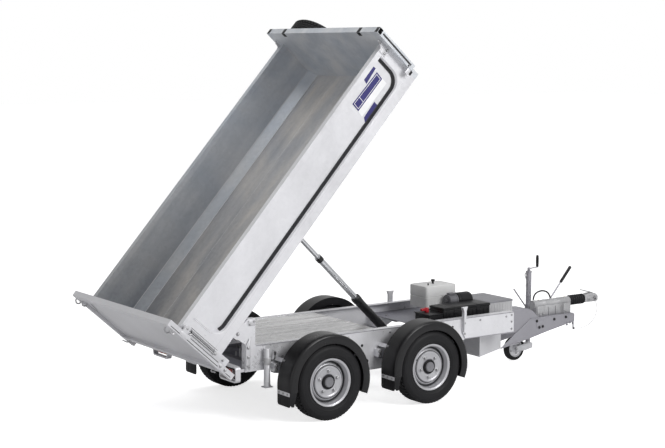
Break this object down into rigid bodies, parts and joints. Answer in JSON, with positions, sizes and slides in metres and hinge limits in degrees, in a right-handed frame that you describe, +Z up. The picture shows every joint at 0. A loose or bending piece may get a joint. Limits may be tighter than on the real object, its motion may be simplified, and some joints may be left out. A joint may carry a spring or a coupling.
{
  "type": "tipping trailer",
  "caption": "Twin-axle tipping trailer: raised sheet-steel bed with a top-hung tailgate, telescopic ram, spare wheel, mudguards, jockey wheel and ball coupling.",
  "frame": {"origin": "on the ground under the middle of the overall length and width, with the bed raised", "axes": "+X forward to the coupling, +Y to the left, +Z up"},
  "size_m": [4.8217, 1.556, 2.9873],
  "materials": {
    "galvanized": "hot-dip galvanized steel, mottled, half matt",
    "tyre": "moulded rubber tyre, matt",
    "wheel_silver": "silver grey painted steel",
    "black_plastic": "moulded black plastic, matt",
    "rubber_black": "black rubber",
    "tank_white": "translucent white plastic",
    "lamp_red": "red and clear lamp lenses in a black case",
    "motor_grey": "grey painted motor and valve block",
    "cable_sheath": "thin steel cable in a pale plastic sheath",
    "chrome": "hard chromed rod, polished",
    "black_paint": "black gloss paint",
    "locker_aluminium": "plain aluminium sheet, half matt"
  },
  "bodies": {
    "chassis": {"axles": "galvanized", "battery": "black_plastic", "bow": "galvanized", "breakaway_cable": "cable_sheath", "coupling_bellows": "rubber_black", "coupling_handle": "galvanized", "coupling_head": "galvanized", "cross_tubes": "galvanized", "deck": "galvanized", "drawbar": "galvanized", "handbrake": "galvanized", "jockey_crank": "galvanized", "jockey_knob": "black_plastic", "jockey_leg": "galvanized", "jockey_tube": "galvanized", "lamp_bar": "galvanized", "lead_loop": "rubber_black", "locker": "locker_aluminium", "mudguards_left": "black_plastic", "mudguards_right": "black_plastic", "nose_tray": "galvanized", "oil_tank": "tank_white", "overrun_housing": "galvanized", "prop_stands": "galvanized", "pump_cover": "black_plastic", "pump_unit": "motor_grey", "rear_lamps": "lamp_red", "side_plate_left": "galvanized", "side_plate_right": "galvanized", "springs": "galvanized", "tank_cap": "black_plastic", "tray": "galvanized"},
    "wheel_rear_right": {"tyre_rear_right": "tyre", "rim_rear_right": "wheel_silver"},
    "wheel_rear_left": {"tyre_rear_left": "tyre", "rim_rear_left": "wheel_silver"},
    "wheel_front_right": {"tyre_front_right": "tyre", "rim_front_right": "wheel_silver"},
    "wheel_front_left": {"tyre_front_left": "tyre", "rim_front_left": "wheel_silver"},
    "bed": {"bed_bearers": "galvanized", "bed_floor": "galvanized", "bed_rails": "galvanized", "bed_side_left": "galvanized", "bed_side_right": "galvanized", "headboard": "galvanized", "ram_bracket": "galvanized", "spare_tyre": "tyre", "spare_rim": "wheel_silver", "spare_carrier": "galvanized"},
    "tailgate": {"tailgate": "galvanized"},
    "ram_barrel": {"ram_barrel": "black_paint"},
    "ram_stage_1": {"ram_stage_1": "chrome"},
    "ram_stage_2": {"ram_stage_2": "chrome"},
    "jockey_fork": {"jockey_fork": "galvanized"},
    "jockey_wheel": {"jockey_wheel": "rubber_black"}
  },
  "joints": [
    {"name": "wheel_rear_right_spin", "type": "hinge", "parent": "chassis", "child": "wheel_rear_right", "pos_m": [-1.046, -0.691, 0.288], "axis": [0, 1, 0], "continuous": true},
    {"name": "wheel_rear_left_spin", "type": "hinge", "parent": "chassis", "child": "wheel_rear_left", "pos_m": [-1.046, 0.691, 0.288], "axis": [0, 1, 0], "continuous": true},
    {"name": "wheel_front_right_spin", "type": "hinge", "parent": "chassis", "child": "wheel_front_right", "pos_m": [-0.094, -0.691, 0.288], "axis": [0, 1, 0], "continuous": true},
    {"name": "wheel_front_left_spin", "type": "hinge", "parent": "chassis", "child": "wheel_front_left", "pos_m": [-0.094, 0.691, 0.288], "axis": [0, 1, 0], "continuous": true},
    {"name": "jockey_swivel", "type": "hinge", "parent": "chassis", "child": "jockey_fork", "pos_m": [1.709, 0.134, 0.15], "axis": [0, 0, 1], "continuous": true},
    {"name": "jockey_wheel_spin", "type": "hinge", "parent": "jockey_fork", "child": "jockey_wheel", "pos_m": [1.544, 0.134, 0.105], "axis": [0, 1, 0], "continuous": true},
    {"name": "bed_tip", "type": "hinge", "parent": "chassis", "child": "bed", "pos_m": [-1.686, 0, 0.68], "axis": [0, -1, 0], "range_deg": [-48.24, 0]},
    {"name": "tailgate_swing", "type": "hinge", "parent": "bed", "child": "tailgate", "pos_m": [-2.24641, 0, 0.82109], "axis": [0, 1, 0], "range_deg": [0, 80]},
    {"name": "ram_pivot", "type": "hinge", "parent": "chassis", "child": "ram_barrel", "pos_m": [0.118, 0, 0.356], "axis": [0, -1, 0], "range_deg": [0, 16.44]},
    {"name": "ram_stage_1_slide", "type": "slide", "parent": "ram_barrel", "child": "ram_stage_1", "axis": [-0.7135, 0, 0.7007], "range_m": [-0.3898, 0]},
    {"name": "ram_stage_2_slide", "type": "slide", "parent": "ram_stage_1", "child": "ram_stage_2", "axis": [-0.7135, 0, 0.7007], "range_m": [-0.3898, 0]}
  ],
  "couplings": [
    {"joint": "ram_pivot", "follows": "bed_tip", "ratio": -0.34079},
    {"joint": "ram_stage_1_slide", "follows": "bed_tip", "m_per_rad": 0.46288},
    {"joint": "ram_stage_2_slide", "follows": "bed_tip", "m_per_rad": 0.46288}
  ]
}
